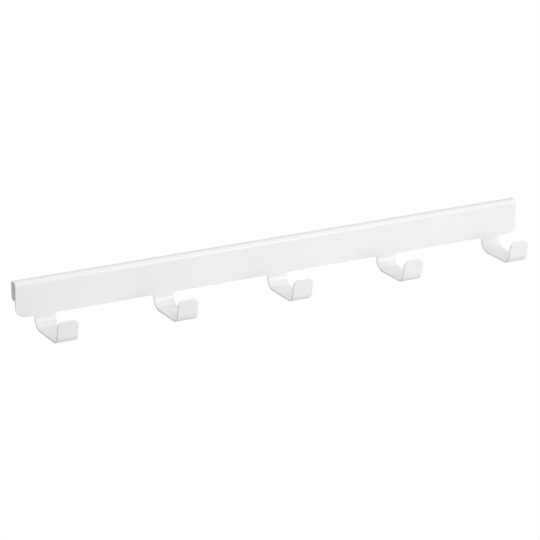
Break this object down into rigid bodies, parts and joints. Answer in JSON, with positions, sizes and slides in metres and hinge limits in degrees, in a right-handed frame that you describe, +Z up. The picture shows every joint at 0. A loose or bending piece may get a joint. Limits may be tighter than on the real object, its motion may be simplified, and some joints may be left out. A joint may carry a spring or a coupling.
{
  "type": "hook rail",
  "caption": "Folded sheet-steel rail with a slot along its top fold that hangs over an edge, and broad flat hooks bent forward from its lower edge.",
  "frame": {"origin": "middle of the seat, the flat inside of the top fold that rests on the edge it hangs on", "axes": "+X along the rail, -Y is the front, +Z up as it hangs"},
  "size_m": [0.6, 0.0698, 0.0532],
  "materials": {
    "coated_steel": "satin white powder coat"
  },
  "bodies": {
    "root": {"hook_rail": "coated_steel"}
  },
  "joints": []
}
